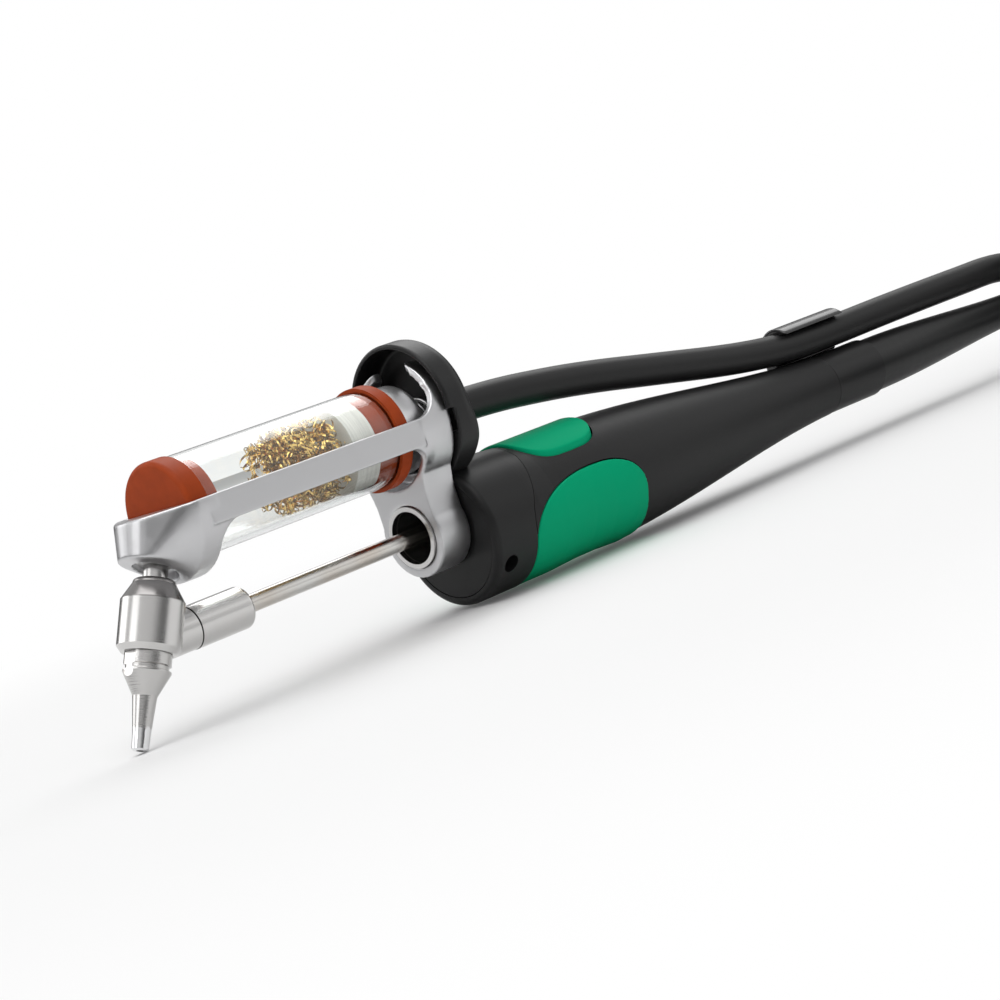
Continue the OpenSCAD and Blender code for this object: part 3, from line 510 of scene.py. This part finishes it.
def add_web(whole):
    """Adds the small web with a round corner that joins the bracket's arm to its block, below the arm."""
    steps = 10
    under_skin = 0.05
    rows = []
    # The first row lies inside the arm; the others go down round the corner, from the arm's face to the block's
    for i in range(-1, steps + 1):
        angle = math.pi / 2 * max(0, i) / steps
        x = BLOCK_X - WEB_ROUND + WEB_ROUND * math.sin(angle)
        z = ARM_Z - WEB_ROUND + WEB_ROUND * math.cos(angle) + (WEB_INTO_ARM if i < 0 else 0)
        block_y = -math.sqrt(BLOCK_R**2 - (GLASS_Z - z) ** 2)
        arm_share = max(0.0, 1 - (ARM_Z - z) / WEB_ROUND) if i >= 0 else 1.0
        out_y = block_y + (ARM_OUT_Y - block_y) * arm_share
        rear_x, rear_y = BLOCK_X + WEB_INTO_BLOCK, block_y + under_skin
        corners = [(x, out_y), (rear_x, rear_y), (rear_x, rear_y + WEB_T), (x, out_y + WEB_T)]
        rows.append([whole.verts.new(Vector((cx, cy, z)) * MM) for cx, cy in corners])
    for upper, lower in zip(rows, rows[1:]):
        for k in range(4):
            n = (k + 1) % 4
            whole.faces.new((upper[k], upper[n], lower[n], lower[k]))
    whole.faces.new(list(reversed(rows[0])))
    whole.faces.new(rows[-1])
    bmesh.ops.recalc_face_normals(whole, faces=whole.faces)


def eased(share):
    """A share from 0 to 1 with soft ends."""
    share = min(1.0, max(0.0, share))
    return share * share * (3 - 2 * share)


def rim_radius(x, rounding):
    """The hood's radius at x, with its rear edge rounded."""
    past = max(0.0, x - HOOD_REAR_X + rounding)
    return HOOD_R - rounding + math.sqrt(max(0.0, rounding**2 - past**2))


def shape_hood(mesh):
    """Gives the hood's rear rim its large round above, and lets its skirt flare a little below."""
    # The change starts at this share of the hood's radius and is complete a little further out
    starts, grows = 0.5, 0.3
    for vertex in mesh.vertices:
        x, y, z = vertex.co / MM
        out = math.hypot(y, z - HOOD_Z) / HOOD_R
        if out < starts:
            continue
        share = eased((out - starts) / grows)
        skirt = eased((HOOD_Z - z) / SKIRT_DEPTH)
        rounder = rim_radius(x, HOOD_ROUND) / rim_radius(x, HOOD_CAD_ROUND) - 1
        factor = 1 + share * (rounder * (1 - skirt) + HOOD_FLARE * skirt)
        vertex.co = Vector((x, y * factor, HOOD_Z + (z - HOOD_Z) * factor)) * MM
    mesh.update()


def smooth_line(route):
    """Points on the smooth curve through a route, in metres."""
    points = [Vector(p) * MM for p in route]
    line = []
    last = len(points) - 1
    for i in range(last):
        a, b, c, d = points[max(i - 1, 0)], points[i], points[i + 1], points[min(i + 2, last)]
        for k in range(ROUTE_STEPS):
            t = k / ROUTE_STEPS
            line.append(
                0.5 * (2 * b + (c - a) * t + (2 * a - 5 * b + 4 * c - d) * t * t + (3 * b - a - 3 * c + d) * t * t * t)
            )
    line.append(points[last])
    return line


def hank_line(left, right, middle_radius, turns, radius_at, height_at):
    """The turns of a cord folded into a hank with round ends. It starts at the left of the far run, heading back."""
    run = right - left
    bend = math.pi * middle_radius
    line = []
    for i in range(1, int(turns * HANK_STEPS)):
        turn = i / HANK_STEPS
        radius = radius_at(turn)
        along = (turn % 1.0) * 2 * (run + bend)
        if along < run:
            x, y = left + along, radius
        elif along < run + bend:
            angle = math.pi / 2 - (along - run) / middle_radius
            x, y = right + radius * math.cos(angle), radius * math.sin(angle)
        elif along < 2 * run + bend:
            x, y = right - (along - run - bend), -radius
        else:
            angle = -math.pi / 2 - (along - 2 * run - bend) / middle_radius
            x, y = left + radius * math.cos(angle), radius * math.sin(angle)
        line.append(Vector((x, HANK_Y + y, height_at(turn))) * MM)
    return line


def cable_hank_line():
    """The cable's hank: inward on the upper layer, then outward on the lower, to the left end of the near run."""
    left, right, middle_radius = CABLE_HANK
    run, bend = right - left, math.pi * middle_radius
    turns = 3 + (2 * run + bend) / (2 * run + 2 * bend)
    deepest = turns / 2

    def radius_at(turn):
        return CABLE_TURN_R - CABLE_PITCH * (turn if turn < deepest else turns - turn)

    def height_at(turn):
        return CABLE_TOP_Z - CABLE_DROP * eased((turn - deepest) / CABLE_DROP_TURN + 0.5)

    return hank_line(*CABLE_HANK, turns, radius_at, height_at)


def hose_hank_line():
    """The hose's hank: its turns lie one on the other."""
    return hank_line(*HOSE_HANK, HOSE_TURNS, lambda turn: HOSE_HANK[2], lambda turn: HOSE_LOW_Z + HOSE_RISE * turn)


def curve_piece(name, line, radius, material, body):
    """A round cord that follows a line."""
    data = bpy.data.curves.new(name, "CURVE")
    data.dimensions = "3D"
    data.bevel_depth = radius
    data.bevel_resolution = 7
    data.use_fill_caps = True
    spline = data.splines.new("POLY")
    spline.points.add(len(line) - 1)
    for point, at in zip(spline.points, line):
        point.co = (*at, 1)
    spline.use_smooth = True
    return new_object(name, data, material, body)


def tube_mesh(name, line, radius, sides, up):
    """A closed tube round a line, as a mesh."""
    points, faces = [], []
    count = len(line)
    for i, at in enumerate(line):
        ahead = (line[min(i + 1, count - 1)] - line[max(i - 1, 0)]).normalized()
        side = ahead.cross(up).normalized()
        rise = side.cross(ahead)
        for k in range(sides):
            angle = 2 * math.pi * k / sides
            points.append(at + radius * (math.cos(angle) * side + math.sin(angle) * rise))
    for i in range(count - 1):
        for k in range(sides):
            n = (k + 1) % sides
            faces.append((i * sides + k, i * sides + n, (i + 1) * sides + n, (i + 1) * sides + k))
    faces.append(tuple(range(sides - 1, -1, -1)))
    faces.append(tuple((count - 1) * sides + k for k in range(sides)))
    return mesh_from(name, points, faces)


def helix(start, end, radius, turns, point):
    """Points on a coil, in metres. point turns a place along it and two offsets across it into coordinates."""
    steps_per_turn = 24
    count = turns * steps_per_turn
    line = []
    for i in range(count + 1):
        angle = 2 * math.pi * i / steps_per_turn
        along = start + (end - start) * i / count
        line.append(Vector(point(along, radius * math.cos(angle), radius * math.sin(angle))) * MM)
    return line


# Operators


class IRON_OT_camera(bpy.types.Operator):
    """Places the camera where the photograph was taken from"""

    bl_idname = "iron.camera"
    bl_label = "Camera"

    def execute(self, context):
        data = bpy.data.cameras.new("camera")
        data.lens = CAMERA_LENS
        data.sensor_width = 36.0
        data.clip_start = 0.01
        data.clip_end = 20.0
        camera = bpy.data.objects.new("camera", data)
        context.scene.collection.objects.link(camera)
        turn = Matrix((CAMERA_RIGHT, CAMERA_UP, CAMERA_RIGHT.cross(CAMERA_UP))).transposed().to_4x4()
        camera.matrix_world = Matrix.Translation(CAMERA_AT) @ turn
        context.scene.camera = camera
        return {"FINISHED"}


class IRON_OT_stage(bpy.types.Operator):
    """Makes the pale floor, the studio surroundings and the lamps"""

    bl_idname = "iron.stage"
    bl_label = "Stage"

    def execute(self, context):
        scene = context.scene
        scene.view_settings.view_transform = "Standard"
        self.make_world(scene)
        self.make_floor(scene)
        for i, (at, aim, side, power) in enumerate(LAMPS):
            data = bpy.data.lights.new(f"softbox_{i + 1}", "AREA")
            data.shape = "SQUARE"
            data.size = side
            data.energy = power
            lamp = bpy.data.objects.new(f"softbox_{i + 1}", data)
            scene.collection.objects.link(lamp)
            direction = Vector(aim) - Vector(at)
            lamp.matrix_world = Matrix.Translation(at) @ direction.to_track_quat("-Z", "Y").to_matrix().to_4x4()
        return {"FINISHED"}

    def make_world(self, scene):
        """White to the eye and through glass, a soft studio in reflections, and even light elsewhere."""
        world = bpy.data.worlds.new("studio")
        scene.world = world
        world.use_nodes = True
        world.node_tree.nodes.clear()
        toward = add_node(world, "ShaderNodeTexCoord").outputs["Generated"]
        split = add_node(world, "ShaderNodeSeparateXYZ", None, {0: toward})
        height = add_node(
            world, "ShaderNodeMapRange", {"From Min": -1, "From Max": 1}, {"Value": split.outputs["Z"]}
        )
        ramp = add_node(world, "ShaderNodeValToRGB", None, {"Fac": height.outputs["Result"]})
        while len(ramp.color_ramp.elements) < len(STUDIO_GREYS):
            ramp.color_ramp.elements.new(0.5)
        for element, (position, grey) in zip(ramp.color_ramp.elements, STUDIO_GREYS):
            element.position = position
            element.color = (grey, grey, grey, 1)
        studio = ramp.outputs["Color"]
        for operation, direction, starts, ends, outside, inside in STUDIO_CARDS:
            card = step(world, facing(world, toward, direction), starts, ends, outside, inside)
            studio = add_node(world, "ShaderNodeVectorMath", None, {0: studio, 1: card}, operation=operation).outputs[0]
        mirrored = add_node(world, "ShaderNodeBackground", {"Strength": 1.0}, {"Color": studio}).outputs[0]
        even = add_node(world, "ShaderNodeBackground", {"Color": WHITE, "Strength": EVEN_LIGHT}).outputs[0]
        shown = add_node(world, "ShaderNodeBackground", {"Color": WHITE, "Strength": 1.0}).outputs[0]
        rays = add_node(world, "ShaderNodeLightPath").outputs
        eye_rays = {0: rays["Is Camera Ray"], 1: rays["Is Transmission Ray"]}
        seen = add_node(world, "ShaderNodeMath", None, eye_rays, operation="MAXIMUM").outputs[0]
        unseen = mixed_shaders(world, rays["Is Glossy Ray"], even, mirrored)
        add_node(world, "ShaderNodeOutputWorld", None, {"Surface": mixed_shaders(world, seen, unseen, shown)})

    def make_floor(self, scene):
        """A pale floor that turns as white as the background away from the object."""
        corners = [(x * FLOOR_HALF, y * FLOOR_HALF, FLOOR_LEVEL) for x, y in ((-1, -1), (1, -1), (1, 1), (-1, 1))]
        mesh = mesh_from("floor", corners, [(0, 1, 2, 3)])
        floor = bpy.data.objects.new("floor", mesh)
        scene.collection.objects.link(floor)
        made = new_material("pale_floor", (0.80, 0.80, 0.80), metallic=0.0, roughness=0.9, Specular_IOR_Level=0.0)
        pale = made.node_tree.nodes["Principled BSDF"].outputs[0]
        camera_ray = add_node(made, "ShaderNodeLightPath").outputs["Is Camera Ray"]
        lift = add_node(made, "ShaderNodeMath", {1: FLOOR_LIFT}, {0: camera_ray}, operation="MULTIPLY").outputs[0]
        glow = add_node(made, "ShaderNodeEmission", {"Color": WHITE}, {"Strength": lift}).outputs[0]
        near = add_node(made, "ShaderNodeAddShader", None, {0: pale, 1: glow}).outputs[0]
        at = place(made)
        centred = add_node(made, "ShaderNodeVectorMath", {1: OVAL_AT}, {0: at}, operation="SUBTRACT").outputs[0]
        oval = scaled(made, centred, OVAL_SQUEEZE)
        away = add_node(made, "ShaderNodeVectorMath", None, {0: oval}, operation="LENGTH").outputs["Value"]
        far = step(made, away, *OVAL_FADE)
        fade = add_node(made, "ShaderNodeMath", None, {0: far, 1: camera_ray}, operation="MULTIPLY").outputs[0]
        white = add_node(made, "ShaderNodeEmission", {"Color": WHITE}).outputs[0]
        show(made, mixed_shaders(made, fade, near, white))
        mesh.materials.append(made)


class IRON_OT_cable(bpy.types.Operator):
    """Makes the cable, from the strain relief through its hank to the plug, and the tie"""

    bl_idname = "iron.cable"
    bl_label = "Cable"

    def execute(self, context):
        jacket = grained("cable_jacket", (0.016, 0.016, 0.0165), roughness=0.42, grain=0.5)
        line = smooth_line(CABLE_ROUTE) + cable_hank_line() + smooth_line(CABLE_TAIL)
        diameter = sizes().cable_diameter
        piece = curve_piece("cable_line", line, diameter / 2, jacket, "tool")
        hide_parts("cable", "cable_hank", "cable_tail")
        tuple(line[0])
        paint(grained("plug_black", (0.014, 0.014, 0.015), roughness=0.3, grain=0.6), "cable_plug")
        gold = new_material("gold_contact", (0.80, 0.58, 0.22), metallic=1.0, roughness=0.22)
        paint(gold, "plug_pins", "contact_rings")
        paint(jacket, "inner_lead")
        paint(grained("tie_grey", (0.05, 0.05, 0.052), roughness=0.5, grain=0.4), "hank_tie")
        return {"FINISHED"}


class IRON_OT_hose(bpy.types.Operator):
    """Makes the suction hose, from its spigot through its hank to the fitting"""

    bl_idname = "iron.hose"
    bl_label = "Hose"

    def execute(self, context):
        rubber = grained("hose_rubber", (0.012, 0.012, 0.0122), roughness=0.45, grain=0.6, Specular_IOR_Level=0.28)
        line = smooth_line(HOSE_ROUTE) + hose_hank_line() + smooth_line(HOSE_TAIL)
        diameter = sizes().hose_diameter
        piece = curve_piece("hose_line", line, diameter / 2, rubber, "tool")
        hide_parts("hose", "hose_hank", "hose_tail")
        paint(turned_steel("fitting_steel", (1, 0, 0), roughness=0.24), "hose_fitting")
        return {"FINISHED"}


class IRON_OT_bracket(bpy.types.Operator):
    """Makes the satin bracket with soft edges, and finishes its steel ring and its port seal"""

    bl_idname = "iron.bracket"
    bl_label = "Bracket"

    def execute(self, context):
        softened("bracket", "bracket_body", satin_aluminium(), "tool", rounds=15, extra=add_web)
        paint(turned_steel("ring_steel", (1, 0, 0), roughness=0.22), "shank_ring")
        paint(turned_steel("port_steel", NOZZLE_LINE, roughness=0.3, tint=0.8), "port_seal")
        return {"FINISHED"}


class IRON_OT_nozzle(bpy.types.Operator):
    """Finishes the nozzle, the heater head, its sleeve, tube and neck"""

    bl_idname = "iron.nozzle"
    bl_label = "Nozzle and head"

    def execute(self, context):
        paint(nozzle_steel(), "nozzle")
        paint(head_steel(), "head_block")
        paint(sleeve_steel(), "heater_sleeve")
        paint(tube_steel(), "heater_shank")
        paint(turned_steel("neck_steel", NOZZLE_LINE), "suction_neck")
        return {"FINISHED"}


class IRON_OT_collector(bpy.types.Operator):
    """Finishes the glass tube, its seals and its filter, and makes the brass wool"""

    bl_idname = "iron.collector"
    bl_label = "Solder collector"

    def execute(self, context):
        paint(clear_glass(), "glass_tube")
        paint(seal_rubber(), "front_seal", "rear_seal")
        paint(filter_fibre(), "filter_pad")
        piece = new_object("brass_curls", self.curls(), brass_shavings(), "collector")
        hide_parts("brass_wool")
        return {"FINISHED"}

    def curls(self):
        """Thin curled shavings that fill a barrel inside the glass."""
        draw = random.Random(11)
        steps_per_turn = 14
        points, faces = [], []
        for _ in range(sizes().wool_curls):
            angle = draw.uniform(0, 2 * math.pi)
            out = WOOL_R * math.sqrt(draw.uniform(0.12, 1.0))
            along = draw.uniform(WOOL_FRONT + 1, WOOL_BACK - 1)
            centre = Vector((along, out * math.cos(angle), out * math.sin(angle)))
            axis = Vector((draw.gauss(0, 1), draw.gauss(0, 1), draw.gauss(0, 1))).normalized()
            side = axis.orthogonal().normalized()
            rise = axis.cross(side)
            radius = draw.uniform(*CURL_R)
            turns = draw.uniform(*CURL_TURNS)
            pitch = draw.uniform(*CURL_PITCH)
            width = draw.uniform(*CURL_WIDTH)
            first = draw.uniform(0, 2 * math.pi)
            count = int(turns * steps_per_turn)
            start = len(points)
            for i in range(count + 1):
                turn = first + 2 * math.pi * turns * i / count
                outward = side * math.cos(turn) + rise * math.sin(turn)
                # The curl widens and narrows a little, and its ribbon leans outward
                swell = radius * (1 + 0.25 * math.sin(turn * 0.5))
                middle = centre + outward * swell + axis * pitch * (turns * i / count - turns / 2)
                edge = (axis + 0.35 * outward) * width * 0.5
                for at in (middle - edge, middle + edge):
                    off = math.hypot(at.y, at.z)
                    if off > WOOL_R:
                        at.y *= WOOL_R / off
                        at.z *= WOOL_R / off
                    at.x = min(WOOL_BACK, max(WOOL_FRONT, at.x))
                    points.append(Vector((at.x, at.y, at.z + GLASS_Z)) * MM)
            for i in range(count):
                a = start + 2 * i
                faces.append((a, a + 1, a + 3, a + 2))
        return mesh_from("brass_curls", points, faces)


class IRON_OT_plunger(bpy.types.Operator):
    """Finishes the plunger, makes the hood with its soft rim, and makes both springs"""

    bl_idname = "iron.plunger"
    bl_label = "Plunger, hood and springs"

    def execute(self, context):
        paint(new_material("satin_plunger", (0.84, 0.84, 0.85), metallic=1.0, roughness=0.34), "plunger")
        black = grained("hood_black", colours().black, roughness=0.38, grain=0.35, Specular_IOR_Level=0.35)
        paint(black, "hose_spigot")
        softened("hood", "hood_soft", black, "tool", rounds=2, form=shape_hood)
        wire = new_material("spring_wire", (0.5, 0.5, 0.5), metallic=1.0, roughness=0.3)
        low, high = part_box("plunger_spring")
        line = helix(
            low.x / MM + PLUNGER_WIRE_R, high.x / MM - PLUNGER_WIRE_R, PLUNGER_COIL_R, PLUNGER_TURNS,
            lambda x, c, s: (x, c, GLASS_Z + s),
        )
        mesh = tube_mesh("plunger_coil_spring", line, PLUNGER_WIRE_R * MM, 12, Vector((1, 0, 0)))
        piece = new_object("plunger_coil_spring", mesh, wire, "tool")
        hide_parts("plunger_spring")
        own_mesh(piece)
        low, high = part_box("button_spring")
        inset = BUTTON_WIRE_R + 0.02
        line = helix(
            low.z / MM + inset, high.z / MM - inset, BUTTON_COIL_R, BUTTON_TURNS,
            lambda z, c, s: (BUTTON_SPRING_X + c, s, z),
        )
        mesh = tube_mesh("button_coil_spring", line, BUTTON_WIRE_R * MM, 10, Vector((0, 0, 1)))
        piece = new_object("button_coil_spring", mesh, wire, "tool")
        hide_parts("button_spring")
        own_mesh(piece)
        return {"FINISHED"}


class IRON_OT_handle(bpy.types.Operator):
    """Finishes the collar, the handle, the rear ring and the strain relief"""

    bl_idname = "iron.handle"
    bl_label = "Handle"

    def execute(self, context):
        black = tuple(colours().black)
        collar = grained("collar_black", black, roughness=0.42, grain=0.35, Specular_IOR_Level=0.3)
        paint(collar, "collar", "collar_face")
        body = grained("handle_black", black, roughness=0.48, grain=0.3, depth=COARSE_GRAIN, Specular_IOR_Level=0.3)
        paint(body, "handle_body")
        paint(grained("ring_black", black, roughness=0.4, grain=0.35, Specular_IOR_Level=0.3), "rear_ring")
        relief = grained("relief_rubber", (0.011, 0.011, 0.0112), roughness=0.4, grain=0.6, Specular_IOR_Level=0.35)
        paint(relief, "strain_boot")
        paint(new_material("screw_steel", (0.10, 0.10, 0.10), metallic=1.0, roughness=0.4), "set_screw")
        return {"FINISHED"}


class IRON_OT_grip(bpy.types.Operator):
    """Makes the green grip pad and button with soft edges"""

    bl_idname = "iron.grip"
    bl_label = "Grip and button"

    def execute(self, context):
        green = grained("grip_green", tuple(colours().green), roughness=0.6, grain=0.4, Specular_IOR_Level=0.06)
        softened("grip_pad", "grip_pad_soft", green, "tool", rounds=5)
        softened("button", "button_soft", green, "button", rounds=5)
        return {"FINISHED"}


class IRON_OT_clip(bpy.types.Operator):
    """Makes the glossy clip that holds the hose on the handle"""

    bl_idname = "iron.clip"
    bl_label = "Hose clip"

    def execute(self, context):
        gloss = new_material("clip_gloss", (0.010, 0.010, 0.0105), metallic=0.0, roughness=0.16, Specular_IOR_Level=0.6)
        softened("hose_clip", "hose_clip_soft", gloss, "tool", rounds=4)
        return {"FINISHED"}


class IRON_OT_inner(bpy.types.Operator):
    """Finishes the pieces inside the handle"""

    bl_idname = "iron.inner"
    bl_label = "Inner pieces"

    def execute(self, context):
        grey = grained("inner_grey", (0.12, 0.12, 0.125), roughness=0.5, grain=0.5)
        paint(grey, "inner_frame", "cartridge_socket", "cable_clamp", "button_switch")
        paint(new_material("board_green", (0.02, 0.12, 0.05), metallic=0.0, roughness=0.35), "switch_board")
        return {"FINISHED"}


class IRON_PT_panel(bpy.types.Panel):
    """Lists the steps and the finishes"""

    bl_label = "Desoldering iron"
    bl_idname = "IRON_PT_panel"
    bl_space_type = "VIEW_3D"
    bl_region_type = "UI"
    bl_category = "Iron"

    def draw(self, context):
        layout = self.layout
        for operator in OPERATORS:
            layout.operator(operator.bl_idname)
        for group in (context.scene.iron_sizes, context.scene.iron_finishes):
            box = layout.box()
            for key in group.__annotations__:
                box.prop(group, key)


OPERATORS = [
    IRON_OT_camera, IRON_OT_stage, IRON_OT_cable, IRON_OT_hose, IRON_OT_bracket, IRON_OT_nozzle, IRON_OT_collector,
    IRON_OT_plunger, IRON_OT_handle, IRON_OT_grip, IRON_OT_clip, IRON_OT_inner,
]
CLASSES = [IronSizes, IronFinishes, *OPERATORS, IRON_PT_panel]


def register():
    for cls in CLASSES:
        bpy.utils.register_class(cls)
    bpy.types.Scene.iron_sizes = bpy.props.PointerProperty(type=IronSizes)
    bpy.types.Scene.iron_finishes = bpy.props.PointerProperty(type=IronFinishes)


def unregister():
    del bpy.types.Scene.iron_finishes
    del bpy.types.Scene.iron_sizes
    for cls in reversed(CLASSES):
        bpy.utils.unregister_class(cls)


def main():
    register()
    bpy.ops.iron.camera()
    bpy.ops.iron.stage()
    bpy.ops.iron.cable()
    bpy.ops.iron.hose()
    bpy.ops.iron.bracket()
    bpy.ops.iron.nozzle()
    bpy.ops.iron.collector()
    bpy.ops.iron.plunger()
    bpy.ops.iron.handle()
    bpy.ops.iron.grip()
    bpy.ops.iron.clip()
    bpy.ops.iron.inner()


if __name__ == "__main__":
    main()
